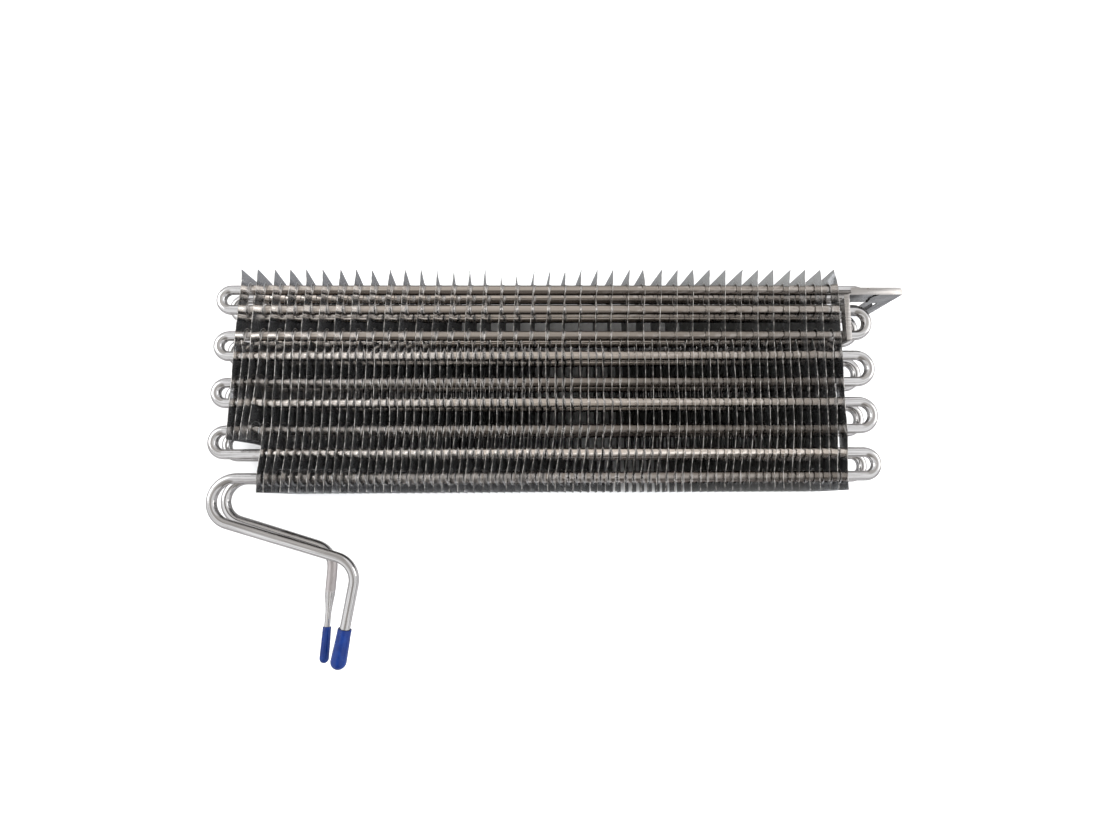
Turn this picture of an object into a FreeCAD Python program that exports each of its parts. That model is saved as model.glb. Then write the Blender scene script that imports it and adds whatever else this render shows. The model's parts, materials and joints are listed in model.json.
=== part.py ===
"""Evaporator coil of a no-frost refrigerator, lying on the rear edges of its fins.

One aluminium tube runs to and fro through a block of thin fins, in a front and a rear column of nine
rows. X runs along the tube rows, Y across them towards the fins' tall ends, and Z from the rear fin
edges up to the front ones. Lengths are in millimetres and angles in degrees. Every piece is drawn
about the middle of the fin block's lower edge, and the Placement of each sub-part then centres the
whole coil on the origin.
"""
import FreeCAD, Part
import math
import os
import re

V = FreeCAD.Vector

# driving dimensions: alias, value, what it is
SIZES = [
    ("TubeDiameter", 8.0, "outside of the serpentine tube"),
    ("TubeWall", 0.7, "wall of the serpentine tube"),
    ("ColumnSpacing", 24.0, "between the front and the rear tube column"),
    ("LeftBendSpan", 16.4, "between two rows that a left bend joins"),
    ("RightBendSpan", 21.7, "between two rows that a right bend joins"),
    ("LowerBendSpan", 18.8, "the same for the lowest bend on each side"),
    ("LeftReach", 262.7, "from the block's middle to the outside of the left bends"),
    ("RightReach", 268.8, "from the block's middle to the outside of the right bends"),
    ("FinPitch", 6.35, "from fin to fin"),
    ("FinCount", 75, "tall and short fins in turn, tall ones at both ends"),
    ("FinThickness", 0.25, "sheet of the fins"),
    ("FinDepth", 60.0, "fins from rear to front"),
    ("EdgeMargin", 11.5, "fin beyond the highest and the lowest tube row"),
    ("ShortFinDrop", 7.9, "top of the short fins below tube row 3"),
    ("ClippedFinCount", 4, "fins at the left end that stop between rows 7 and 8"),
    ("ClippedFinDrop", 8.9, "lower edge of the clipped fins below tube row 7"),
    ("SlotClearance", 0.4, "between the tube and a slot that it passes through"),
    ("PipeTurnReach", 261.0, "from the block's middle to the outside of the pipes' turns"),
    ("FrontTurnRadius", 18.0, "turn of the front pipe below the block, on the centre line"),
    ("RearTurnRadius", 17.0, "the same for the rear pipe"),
    ("ElbowRadius", 18.0, "lower elbow of both pipes, on the centre line"),
    ("FrontPipeDrop", 135.3, "from the fins' lower edge down to the tip of the big cap"),
    ("RearPipeDrop", 133.1, "from the fins' lower edge down to the tip of the small cap"),
    ("FrontPipeSlope", 16.6, "fall of the front pipe's slanted run"),
    ("FrontElbowOffset", 142.4, "front elbow's corner, left of the block's middle"),
    ("FrontLegLean", 11.3, "front pipe's last leg, towards the left on its way down"),
    ("FrontLegTilt", 8.0, "front pipe's last leg, towards the rear on its way down"),
    ("RearPipeSlope", 17.2, "fall of the rear pipe's slanted run"),
    ("RearElbowOffset", 168.1, "rear elbow's corner, left of the block's middle"),
    ("RearLegLean", 3.1, "rear pipe's last leg, towards the left on its way down"),
    ("NeckDiameter", 4.7, "swaged end of the rear pipe"),
    ("NeckLength", 34.0, "straight part of the swaged end"),
    ("SwageLength", 20.0, "taper from the tube to the neck"),
    ("CapEndGap", 1.0, "free space between a pipe's end and its cap's floor"),
    ("BigCapLength", 32.0, "cap of the front pipe"),
    ("BigCapDepth", 29.0, "bore of the big cap"),
    ("BigCapMouth", 10.7, "outside of the big cap at its mouth"),
    ("BigCapEnd", 12.4, "outside of the big cap at its round end"),
    ("SmallCapLength", 28.0, "cap of the rear pipe's neck"),
    ("SmallCapDepth", 26.0, "bore of the small cap"),
    ("SmallCapMouth", 6.6, "outside of the small cap at its mouth"),
    ("SmallCapEnd", 7.4, "outside of the small cap at its round end"),
    ("SheetThickness", 1.0, "sheet of the end bracket"),
    ("FoldRadius", 1.0, "inside of the fold between the bracket's plate and shelf"),
    ("BracketGap", 8.75, "from the last fin to the outside of the bracket's plate"),
    ("BracketFoot", 7.9, "lower end of the bracket's plate below tube row 3"),
    ("PlateFlange", 4.1, "width of the plate's front flange"),
    ("ShelfRise", 7.0, "underside of the shelf above tube row 2"),
    ("ShelfReach", 286.5, "from the block's middle to the shelf's right edge"),
    ("ShelfFlange", 6.0, "height of the shelf's front flange, sheet included"),
    ("ShelfFlangeRound", 3.0, "rounded corner of the shelf's front flange"),
    ("FlangeGap", 1.8, "from the plate to the start of the shelf's front flange"),
    ("WindowFront", 20.0, "strip of the shelf in front of its window"),
    ("WindowLength", 30.0, "window in the shelf, towards the rear"),
    ("WindowMargin", 4.0, "from the plate to the window"),
    ("WindowWidth", 19.0, "window in the shelf, along the coil"),
    ("SlitWidth", 0.7, "slit from the window to the front flange"),
    ("SlitKick", 2.6, "sideways step in the middle of the slit"),
    ("LanceFront", 23.0, "strip of the shelf in front of the lanced slot"),
    ("LanceLength", 28.0, "lanced slot, towards the rear"),
    ("LanceWidth", 5.3, "lanced slot, along the coil"),
    ("LanceMargin", 8.6, "from the lanced slot to the shelf's right edge"),
    ("LipHeight", 5.0, "lip that stands up beside the lanced slot"),
    ("LipRelief", 2.0, "front end of the lanced slot that the lip leaves free"),
]

# worked out from the driving dimensions: alias, formula
FORMULAS = [
    ("TubeRadius", "=TubeDiameter / 2"),
    ("BoreRadius", "=TubeRadius - TubeWall"),
    ("RearColumn", "=(FinDepth - ColumnSpacing) / 2"),
    ("FrontColumn", "=(FinDepth + ColumnSpacing) / 2"),
    ("RowNine", "=EdgeMargin"),
    ("RowEight", "=RowNine + LowerBendSpan"),
    ("RowSeven", "=RowEight + LowerBendSpan"),
    ("RowSix", "=RowSeven + RightBendSpan"),
    ("RowFive", "=RowSix + LeftBendSpan"),
    ("RowFour", "=RowFive + RightBendSpan"),
    ("RowThree", "=RowFour + LeftBendSpan"),
    ("RowTwo", "=RowThree + RightBendSpan"),
    ("RowOne", "=RowTwo + LeftBendSpan"),
    ("TallFinTop", "=RowOne + EdgeMargin"),
    ("ShortFinTop", "=RowThree - ShortFinDrop"),
    ("ClippedFinFoot", "=RowSeven - ClippedFinDrop"),
    ("HalfBlock", "=(FinCount - 1) / 2 * FinPitch"),
    ("SlotRadius", "=TubeRadius + SlotClearance"),
    ("PlateOutside", "=HalfBlock + BracketGap"),
    ("PlateInside", "=PlateOutside - SheetThickness"),
    ("PlateFoot", "=RowThree - BracketFoot"),
    ("ShelfUnderside", "=RowTwo + ShelfRise"),
    ("CentreX", "=(LeftReach - ShelfReach) / 2"),
    ("CentreY", "=(FrontPipeDrop - TallFinTop) / 2"),
]

ROWS_UPWARDS = ["RowNine", "RowEight", "RowSeven", "RowSix", "RowFive", "RowFour", "RowThree", "RowTwo", "RowOne"]
LEFT_PAIRS = [("RowEight", "RowSeven"), ("RowSix", "RowFive"), ("RowFour", "RowThree"), ("RowTwo", "RowOne")]
COLUMNS = ["FrontColumn", "RearColumn"]
SLOT_SIDES = 8              # the fins' slots have chamfered ends, to keep the many fins light
SHORT_FINS_PER_NODE = 3     # short fins share nodes, tall ones have their own
ALONG_X = FreeCAD.Rotation(V(0, 1, 0), 90)

doc = FreeCAD.newDocument("EvaporatorCoil")
sheet = doc.addObject("Spreadsheet::Sheet", "Sizes")


def fillSheet():
    """Driving dimensions first, then what is worked out from them."""
    for line, (alias, value, note) in enumerate(SIZES, 1):
        sheet.set(f"A{line}", str(value))
        sheet.set(f"B{line}", note)
        sheet.setAlias(f"A{line}", alias)
    for line, (alias, formula) in enumerate(FORMULAS, len(SIZES) + 1):
        sheet.set(f"A{line}", formula)
        sheet.setAlias(f"A{line}", alias)
    doc.recompute()


def size(alias):
    return float(getattr(sheet, alias))


def bind(item, **formulas):
    """Bind properties to formulas of sheet aliases. x, y and z are the Placement's base."""
    for name, formula in formulas.items():
        path = f".Placement.Base.{name}" if name in ("x", "y", "z") else name
        item.setExpression(path, re.sub(r"\b([A-Z]\w+)", r"Sizes.\1", formula))
    return item


def box(name, length, width, height, x="0", y="0", z="0"):
    return bind(doc.addObject("Part::Box", name), Length=length, Width=width, Height=height, x=x, y=y, z=z)


def cylinderAlongX(name, radius, length, x, y, z):
    item = doc.addObject("Part::Cylinder", name)
    item.Placement.Rotation = ALONG_X
    return bind(item, Radius=radius, Height=length, x=x, y=y, z=z)


def prismAlongX(name, radius, length, x, y, z):
    """An octagonal bar along X whose flats lie at the given radius."""
    item = doc.addObject("Part::Prism", name)
    item.Polygon = SLOT_SIDES
    item.Placement.Rotation = ALONG_X * FreeCAD.Rotation(V(0, 0, 1), 180 / SLOT_SIDES)
    corner = f"({radius}) / cos({180 / SLOT_SIDES} deg)"
    return bind(item, Circumradius=corner, Height=length, x=x, y=y, z=z)


def fuse(name, items):
    item = doc.addObject("Part::MultiFuse", name)
    item.Shapes = items
    item.Refine = True
    return item


def cut(name, base, tool):
    item = doc.addObject("Part::Cut", name)
    item.Base, item.Tool = base, tool
    item.Refine = True
    return item


def subPart(item, label):
    """Name a finished piece and move it from the block's middle to the coil's own frame."""
    item.Label = label
    return bind(item, x="CentreX", y="CentreY")


def slotTool(name, bar, low, high, column, x, length):
    """A slot along X that clears the tube at two rows and everywhere between them."""
    ends = [bar(f"{name}_end_{row}", "SlotRadius", length, x, row, column) for row in (low, high)]
    middle = box(f"{name}_middle", length, f"{high} - {low}", "2 * SlotRadius", x, low, f"{column} - SlotRadius")
    return fuse(name, ends + [middle])


def finPassages():
    """What the tube needs free in every fin: a slot for each left bend and a hole for row 9, in both columns."""
    start, length = "-HalfBlock - FinPitch", "2 * HalfBlock + 2 * FinPitch"
    tools = []
    for column in COLUMNS:
        for low, high in LEFT_PAIRS:
            tools.append(slotTool(f"fin_slot_{column}_{high}", prismAlongX, low, high, column, start, length))
        tools.append(prismAlongX(f"fin_hole_{column}", "SlotRadius", length, start, "RowNine", column))
    passages = doc.addObject("Part::Compound", "fin_passages")
    passages.Links = tools
    return passages


def fins():
    """Tall and short fins in turn. The first few at the left end stop above row 8."""
    passages = finPassages()
    tall, short = [], []
    for index in range(int(size("FinCount"))):
        top = "ShortFinTop" if index % 2 else "TallFinTop"
        foot = "ClippedFinFoot" if index < size("ClippedFinCount") else "0"
        blank = box(
            f"fin_blank_{index}", "FinThickness", f"{top} - {foot}", "FinDepth",
            x=f"{index} * FinPitch - HalfBlock - FinThickness / 2", y=foot)
        fin = cut(f"fin_{index}", blank, passages)
        (short if index % 2 else tall).append(fin)
    pieces = [subPart(fin, f"tall_fin_{number:02d}") for number, fin in enumerate(tall, 1)]
    for first in range(0, len(short), SHORT_FINS_PER_NODE):
        group = doc.addObject("Part::Compound", f"short_fin_group_{first}")
        group.Links = short[first:first + SHORT_FINS_PER_NODE]
        pieces.append(subPart(group, f"short_fins_{first // SHORT_FINS_PER_NODE + 1:02d}"))
    return pieces


def pipeEnd(turn, slope, elbowX, lean, tilt, column, drop, capLength, capEnd):
    """Corners of a connection pipe from row 9 to its elbow, the direction of its last leg, and how far
    from the elbow's corner the mouth of its cap lies."""
    rowNine, left = size("RowNine"), size("TubeRadius") - size("PipeTurnReach")
    low = rowNine - turn * (1 + math.tan(math.radians(90 - slope) / 2))
    elbowY = low - (elbowX - left) * math.tan(math.radians(slope))
    corners = [
        (V(left, rowNine, column), turn),
        (V(left, low, column), turn),
        (V(elbowX, elbowY, column), size("ElbowRadius")),
    ]
    lean, tilt = math.radians(lean), math.radians(tilt)
    leg = V(-math.sin(lean) * math.cos(tilt), -math.cos(lean) * math.cos(tilt), -math.sin(tilt))
    endRadius = capEnd / 2
    tip = (elbowY + drop - endRadius) / -leg.y + endRadius
    return corners, leg, tip - capLength


def serpentineCorners(column):
    """Corners of one column from the left end of row 9 up to the right end of row 1."""
    left = size("TubeRadius") - size("LeftReach")
    right = size("RightReach") - size("TubeRadius")
    z, corners, toRight = size(column), [], True
    for low, high in zip(ROWS_UPWARDS, ROWS_UPWARDS[1:]):
        side, radius = (right if toRight else left), (size(high) - size(low)) / 2
        corners += [(V(side, size(low), z), radius), (V(side, size(high), z), radius)]
        toRight = not toRight
    corners.append((V(right, size("RowOne"), z), size("ColumnSpacing") / 2))
    return corners


def routeWire(corners):
    """Straight runs joined by tangent arcs. corners holds (point, radius), with a radius of 0 at both ends."""
    edges, start = [], corners[0][0]
    for (before, _), (point, radius), (after, _) in zip(corners, corners[1:], corners[2:]):
        back, ahead = (before - point).normalize(), (after - point).normalize()
        half = back.getAngle(ahead) / 2
        first, last = point + back * (radius / math.tan(half)), point + ahead * (radius / math.tan(half))
        inward = (back + ahead).normalize()
        middle = point + inward * (radius / math.sin(half) - radius)
        if start.distanceToPoint(first) > 1e-6:
            edges.append(Part.LineSegment(start, first).toShape())
        edges.append(Part.Arc(first, middle, last).toShape())
        start = last
    edges.append(Part.LineSegment(start, corners[-1][0]).toShape())
    return Part.Wire(edges)


def sweepAlong(route, name, radius):
    """A round bar along the route."""
    section = doc.addObject("Part::Circle", f"{name}_section")
    bind(section, Radius=radius)
    firstEdge = route.Shape.Edges[0]
    section.Placement = FreeCAD.Placement(
        firstEdge.valueAt(firstEdge.FirstParameter),
        FreeCAD.Rotation(V(0, 0, 1), firstEdge.tangentAt(firstEdge.FirstParameter)))
    bar = doc.addObject("Part::Sweep", name)
    bar.Sections = [section]
    bar.Spine = (route, [f"Edge{number}" for number in range(1, len(route.Shape.Edges) + 1)])
    bar.Solid = True
    return bar


def onLeg(item, start, leg, distance):
    item.Placement = FreeCAD.Placement(start + leg * distance, FreeCAD.Rotation(V(0, 0, 1), leg))
    return item


def serpentineTube():
    """The whole tube as one hollow piece, and where its two caps sit."""
    frontCorners, frontLeg, bigMouth = pipeEnd(
        size("FrontTurnRadius"), size("FrontPipeSlope"), -size("FrontElbowOffset"), size("FrontLegLean"),
        size("FrontLegTilt"), size("FrontColumn"), size("FrontPipeDrop"), size("BigCapLength"), size("BigCapEnd"))
    rearCorners, rearLeg, smallMouth = pipeEnd(
        size("RearTurnRadius"), size("RearPipeSlope"), -size("RearElbowOffset"), size("RearLegLean"),
        0, size("RearColumn"), size("RearPipeDrop"), size("SmallCapLength"), size("SmallCapEnd"))
    frontElbow, rearElbow = frontCorners[-1][0], rearCorners[-1][0]
    frontEnd = bigMouth + size("BigCapDepth") - size("CapEndGap")
    neckEnd = smallMouth + size("SmallCapDepth") - size("CapEndGap")
    neckStart = neckEnd - size("NeckLength")
    swageStart = neckStart - size("SwageLength")
    corners = (
        [(frontElbow + frontLeg * frontEnd, 0)] + frontCorners[::-1] + serpentineCorners("FrontColumn")
        + serpentineCorners("RearColumn")[::-1] + rearCorners + [(rearElbow + rearLeg * swageStart, 0)])
    route = doc.addObject("Part::Feature", "tube_route")
    route.Shape = routeWire(corners)

    layers = []
    for name, radius, neckRadius in (
            ("tube_skin", "TubeRadius", "NeckDiameter / 2"),
            ("tube_bore", "BoreRadius", "NeckDiameter / 2 - TubeWall")):
        bar = sweepAlong(route, f"{name}_run", radius)
        swage = onLeg(doc.addObject("Part::Cone", f"{name}_swage"), rearElbow, rearLeg, swageStart)
        bind(swage, Radius1=radius, Radius2=neckRadius, Height="SwageLength")
        neck = onLeg(doc.addObject("Part::Cylinder", f"{name}_neck"), rearElbow, rearLeg, neckStart)
        bind(neck, Radius=neckRadius, Height="NeckLength")
        layers.append(fuse(name, [bar, swage, neck]))
    tube = subPart(cut("tube", *layers), "serpentine_tube")
    return tube, route, (frontElbow, frontLeg, bigMouth), (rearElbow, rearLeg, smallMouth)


def cap(label, pipe, bore, mouth, end, length, depth):
    """A dipped cap: a sleeve that thickens towards a round end. It is drawn along Z from its mouth and
    then pushed over the pipe."""
    start, leg, distance = pipe
    sleeve = doc.addObject("Part::Cone", f"{label}_sleeve")
    bind(sleeve, Radius1=f"{mouth} / 2", Radius2=f"{end} / 2", Height=f"{length} - {end} / 2")
    dome = bind(doc.addObject("Part::Sphere", f"{label}_dome"), Radius=f"{end} / 2", z=f"{length} - {end} / 2")
    hollow = bind(doc.addObject("Part::Cylinder", f"{label}_bore"), Radius=f"{bore} / 2", Height=depth)
    piece = cut(f"{label}_body", fuse(f"{label}_outside", [sleeve, dome]), hollow)
    piece.Label = label
    centre = V(size("CentreX"), size("CentreY"), 0)
    return onLeg(piece, start + centre, leg, distance)


def edgesAt(shape, x, y):
    """Numbers of the edges along Z through a point of the drawing plane."""
    found = []
    for number, edge in enumerate(shape.Edges, 1):
        ends = [vertex.Point for vertex in edge.Vertexes]
        if all(abs(p.x - x) < 1e-6 and abs(p.y - y) < 1e-6 for p in ends):
            found.append(number)
    return found


def fillet(name, base, radii):
    """radii holds (edge numbers, radius)."""
    item = doc.addObject("Part::Fillet", name)
    item.Base = base
    item.Edges = [(number, radius, radius) for numbers, radius in radii for number in numbers]
    return item


def slitTool():
    """The slit runs from the window's front corner to the front flange with one step in it."""
    width, kick = size("SlitWidth"), size("SlitKick")
    right = size("PlateOutside") + size("WindowMargin") + size("WindowWidth")
    front = size("FinDepth") - size("SheetThickness")
    back = size("FinDepth") - size("WindowFront")
    middle = (front + back) / 2
    line = [(right - width, back - 1), (right - width - kick, middle), (right - width, front)]
    rim = line + [(x + width, z) for x, z in reversed(line)]
    y = size("ShelfUnderside") - 1
    face = Part.Face(Part.makePolygon([V(x, y, z) for x, z in rim + rim[:1]]))
    tool = doc.addObject("Part::Feature", "bracket_slit")
    tool.Shape = face.extrude(V(0, size("SheetThickness") + 2, 0))
    return tool


def endBracket():
    """A folded sheet: a plate that rows 2 and 3 pass through, and a shelf with a turned-up front edge."""
    plate = box(
        "bracket_plate", "SheetThickness", "ShelfUnderside + SheetThickness - PlateFoot", "FinDepth",
        x="PlateInside", y="PlateFoot")
    shelf = box(
        "bracket_shelf", "ShelfReach - PlateInside", "SheetThickness", "FinDepth",
        x="PlateInside", y="ShelfUnderside")
    angle = fuse("bracket_angle", [plate, shelf])
    doc.recompute()
    inside = edgesAt(angle.Shape, size("PlateOutside"), size("ShelfUnderside"))
    outside = edgesAt(angle.Shape, size("PlateInside"), size("ShelfUnderside") + size("SheetThickness"))
    folded = fillet("bracket_fold", angle, [
        (inside, size("FoldRadius")), (outside, size("FoldRadius") + size("SheetThickness"))])

    plateFlange = box(
        "bracket_plate_flange", "PlateFlange", "ShelfUnderside - PlateFoot", "SheetThickness",
        x="PlateOutside - PlateFlange", y="PlateFoot", z="FinDepth - SheetThickness")
    shelfFlange = box(
        "bracket_shelf_flange", "ShelfReach - PlateOutside - FlangeGap", "ShelfFlange", "SheetThickness",
        x="PlateOutside + FlangeGap", y="ShelfUnderside", z="FinDepth - SheetThickness")
    doc.recompute()
    corner = edgesAt(shelfFlange.Shape, size("ShelfReach"), size("ShelfUnderside") + size("ShelfFlange"))
    roundFlange = fillet("bracket_round_flange", shelfFlange, [(corner, size("ShelfFlangeRound"))])
    lip = box(
        "bracket_lip", "SheetThickness", "LipHeight + SheetThickness", "LanceLength - LipRelief",
        x="ShelfReach - LanceMargin", y="ShelfUnderside", z="FinDepth - LanceFront - LanceLength")

    tools = [slotTool(
        f"bracket_slot_{column}", cylinderAlongX, "RowThree", "RowTwo", column,
        "PlateInside - 1", "SheetThickness + 2") for column in COLUMNS]
    through, below = "SheetThickness + 2", "ShelfUnderside - 1"
    tools.append(box(
        "bracket_window", "WindowWidth", through, "WindowLength",
        x="PlateOutside + WindowMargin", y=below, z="FinDepth - WindowFront - WindowLength"))
    tools.append(box(
        "bracket_lance", "LanceWidth", through, "LanceLength",
        x="ShelfReach - LanceMargin - LanceWidth", y=below, z="FinDepth - LanceFront - LanceLength"))
    tools.append(slitTool())
    openings = doc.addObject("Part::Compound", "bracket_openings")
    openings.Links = tools
    opened = cut("bracket_opened", folded, openings)
    return subPart(fuse("bracket", [opened, plateFlange, roundFlange, lip]), "end_bracket")


def checkDocument(pieces):
    """Stop before anything is written if an object failed or a piece isn't sound."""
    for item in doc.Objects:
        assert not {"Invalid", "Error"} & set(item.State), f"{item.Name} failed: {item.State}"
    for piece in pieces:
        shape = piece.Shape
        assert not shape.isNull() and shape.isValid() and shape.Solids, f"{piece.Label} isn't a sound solid"


def checkTube(tube, route):
    """The tube's metal against its section times its length."""
    def ring(outside, wall):
        return math.pi * (outside ** 2 - (outside - 2 * wall) ** 2) / 4

    run = ring(size("TubeDiameter"), size("TubeWall"))
    neck = ring(size("NeckDiameter"), size("TubeWall"))
    expected = run * route.Shape.Length + neck * size("NeckLength") + (run + neck) / 2 * size("SwageLength")
    print(f"tube length {route.Shape.Length:.0f} mm, volume {tube.Shape.Volume:.0f}, expected {expected:.0f} mm3")
    assert abs(tube.Shape.Volume / expected - 1) < 0.01, "the tube's sweep lost or gained metal"


fillSheet()
tube, route, frontPipe, rearPipe = serpentineTube()
pieces = [tube, endBracket()]
pieces.append(cap("big_cap", frontPipe, "TubeDiameter", "BigCapMouth", "BigCapEnd", "BigCapLength", "BigCapDepth"))
pieces.append(cap(
    "small_cap", rearPipe, "NeckDiameter", "SmallCapMouth", "SmallCapEnd", "SmallCapLength", "SmallCapDepth"))
pieces += fins()
doc.recompute()
checkDocument(pieces)
checkTube(tube, route)

os.makedirs("parts", exist_ok=True)
for piece in pieces:
    piece.Shape.exportStep(f"parts/{piece.Label}.step")
whole = Part.makeCompound([piece.Shape for piece in pieces]).BoundBox
print(f"{len(pieces)} sub-parts, box {whole.XMin:.2f} {whole.YMin:.2f} {whole.ZMin:.2f} to "
      f"{whole.XMax:.2f} {whole.YMax:.2f} {whole.ZMax:.2f}")
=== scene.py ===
# A bare fin-and-tube evaporator coil, lying on a white studio floor.
# Sizes in the dictionaries are millimetres from the middle of the fin block's lower rear edge: x runs along
# the tubes, y towards the fins' tall ends, z from the rear fin edges to the front ones. Angles are degrees.
# Only the studio's floor and soft boxes are in metres, from the coil's middle.
import json
import math
import random

import bmesh
import bpy
from mathutils import Matrix, Vector, noise

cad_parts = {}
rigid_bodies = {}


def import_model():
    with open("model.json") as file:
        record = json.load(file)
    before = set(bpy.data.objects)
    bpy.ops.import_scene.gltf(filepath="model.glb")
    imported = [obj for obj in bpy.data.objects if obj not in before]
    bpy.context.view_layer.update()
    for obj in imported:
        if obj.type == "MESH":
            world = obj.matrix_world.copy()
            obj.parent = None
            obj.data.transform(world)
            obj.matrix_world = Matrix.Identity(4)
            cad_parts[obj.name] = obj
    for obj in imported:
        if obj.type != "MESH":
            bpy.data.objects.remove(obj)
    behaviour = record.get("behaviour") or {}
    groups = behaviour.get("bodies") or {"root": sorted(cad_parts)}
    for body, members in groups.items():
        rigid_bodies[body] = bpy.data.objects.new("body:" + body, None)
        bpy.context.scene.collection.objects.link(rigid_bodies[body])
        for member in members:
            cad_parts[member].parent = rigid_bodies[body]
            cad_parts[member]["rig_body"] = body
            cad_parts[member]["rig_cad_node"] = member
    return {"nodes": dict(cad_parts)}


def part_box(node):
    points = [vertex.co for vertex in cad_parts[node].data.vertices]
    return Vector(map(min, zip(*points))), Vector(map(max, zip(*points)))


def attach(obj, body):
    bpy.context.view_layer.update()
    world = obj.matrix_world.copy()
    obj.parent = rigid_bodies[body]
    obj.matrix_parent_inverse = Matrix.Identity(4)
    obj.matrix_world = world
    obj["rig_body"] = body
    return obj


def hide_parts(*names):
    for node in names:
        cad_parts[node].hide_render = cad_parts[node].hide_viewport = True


mm = 0.001
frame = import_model()
bpy.ops.object.select_all(action="DESELECT")
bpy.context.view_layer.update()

tallNodes = sorted(name for name in frame["nodes"] if name.startswith("tall_fin"))
shortNodes = sorted(name for name in frame["nodes"] if name.startswith("short_fins"))
firstFin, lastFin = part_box(tallNodes[0]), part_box(tallNodes[-1])
blockMiddle = Vector(((firstFin[0].x + lastFin[1].x) / 2, lastFin[0].y, lastFin[0].z))
toRowFrame = Matrix.Translation(blockMiddle) @ Matrix.Scale(mm, 4)   # block millimetres to the coil's frame
slack = 0.01   # two places this close are the same one
finDepth = (lastFin[1].z - lastFin[0].z) / mm
finPitch = (lastFin[0].x - firstFin[0].x) / mm / (len(tallNodes) - 1) / 2
halfBlock = finPitch * (len(tallNodes) - 1)
clippedCount = 4   # the first fins end between tube rows 7 and 8
print("frame loaded,", len(frame["nodes"]), "nodes")


# ordinary modelling steps

def only(obj):
    bpy.ops.object.select_all(action="DESELECT")
    obj.select_set(True)
    bpy.context.view_layer.objects.active = obj


def added(name):   # the primitive that was just added
    obj = bpy.context.active_object
    obj.name = obj.data.name = name
    return obj


def edit(obj):
    only(obj)
    bpy.ops.object.mode_set(mode="EDIT")


def stopEdit():
    bpy.ops.object.mode_set(mode="OBJECT")


def applyModifier(obj, modifier):
    only(obj)
    bpy.ops.object.modifier_apply(modifier=modifier.name)


def pick(obj, kind, test):   # the vertices, edges or faces that pass the test
    bpy.ops.mesh.select_mode(type=kind)
    bpy.ops.mesh.select_all(action="DESELECT")
    shape = bmesh.from_edit_mesh(obj.data)
    for part in {"VERT": shape.verts, "EDGE": shape.edges, "FACE": shape.faces}[kind]:
        part.select_set(test(part))
    bmesh.update_edit_mesh(obj.data)


def movePicked(obj, place):   # each selected vertex goes to place(its own position)
    shape = bmesh.from_edit_mesh(obj.data)
    for vert in shape.verts:
        if vert.select:
            vert.co = place(vert.co)
    bmesh.update_edit_mesh(obj.data)


def ramp(value, low, high, power=1.0):
    return min(max((value - low) / (high - low), 0.0), 1.0) ** power


def between(points, x):   # straight lines through a few (x, value) points
    for (x0, v0), (x1, v1) in zip(points, points[1:]):
        if x <= x1:
            return v0 + (v1 - v0) * ramp(x, x0, x1)
    return points[-1][1]


def soft(part):   # from 0 to 1 with a gentle start and end
    return part * part * (3 - 2 * part)


def finishPiece(obj, nodes, material, smoothAngle):
    obj.data.transform(toRowFrame)
    only(obj)
    bpy.ops.object.shade_smooth_by_angle(angle=math.radians(smoothAngle))
    obj.data.materials.clear()
    obj.data.materials.append(material)
    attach(obj, "root")
    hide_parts(*nodes)


# shader node helpers and the effects that several finishes share

def put(tree, kind, inputs=None, **settings):
    node = tree.nodes.new(kind)
    for name, value in settings.items():
        setattr(node, name, value)
    for name, value in (inputs or {}).items():
        socket = node.inputs[name]
        if isinstance(value, bpy.types.NodeSocket):
            tree.links.new(value, socket)
        else:
            socket.default_value = value
    return node


def newGroup(name, inputs, outputs):
    tree = bpy.data.node_groups.new(name, "ShaderNodeTree")
    for label, kind, value in inputs:
        socket = tree.interface.new_socket(name=label, in_out="INPUT", socket_type=kind)
        if value is not None:
            socket.default_value = value
    for label in outputs:
        tree.interface.new_socket(name=label, in_out="OUTPUT", socket_type="NodeSocketFloat")
    return tree, tree.nodes.new("NodeGroupInput"), tree.nodes.new("NodeGroupOutput")


def makeStreaks():   # cloudy or drawn-out marks, by how far the pattern is stretched along each axis
    tree, entry, result = newGroup(
        "streaks",
        [("Vector", "NodeSocketVector", None), ("Stretch", "NodeSocketVector", (100, 100, 100)),
         ("Detail", "NodeSocketFloat", 3.0), ("Low", "NodeSocketFloat", 0.4),
         ("High", "NodeSocketFloat", 0.6)],
        ["Mask"])
    spread = put(tree, "ShaderNodeVectorMath", operation="MULTIPLY",
                 inputs={0: entry.outputs["Vector"], 1: entry.outputs["Stretch"]})
    cloud = put(tree, "ShaderNodeTexNoise", {
        "Vector": spread.outputs[0], "Scale": 1.0, "Detail": entry.outputs["Detail"], "Roughness": 0.6})
    mask = put(tree, "ShaderNodeMapRange", interpolation_type="SMOOTHSTEP",
               inputs={"Value": cloud.outputs["Fac"], "From Min": entry.outputs["Low"],
                       "From Max": entry.outputs["High"]})
    tree.links.new(mask.outputs["Result"], result.inputs["Mask"])
    return tree


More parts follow.
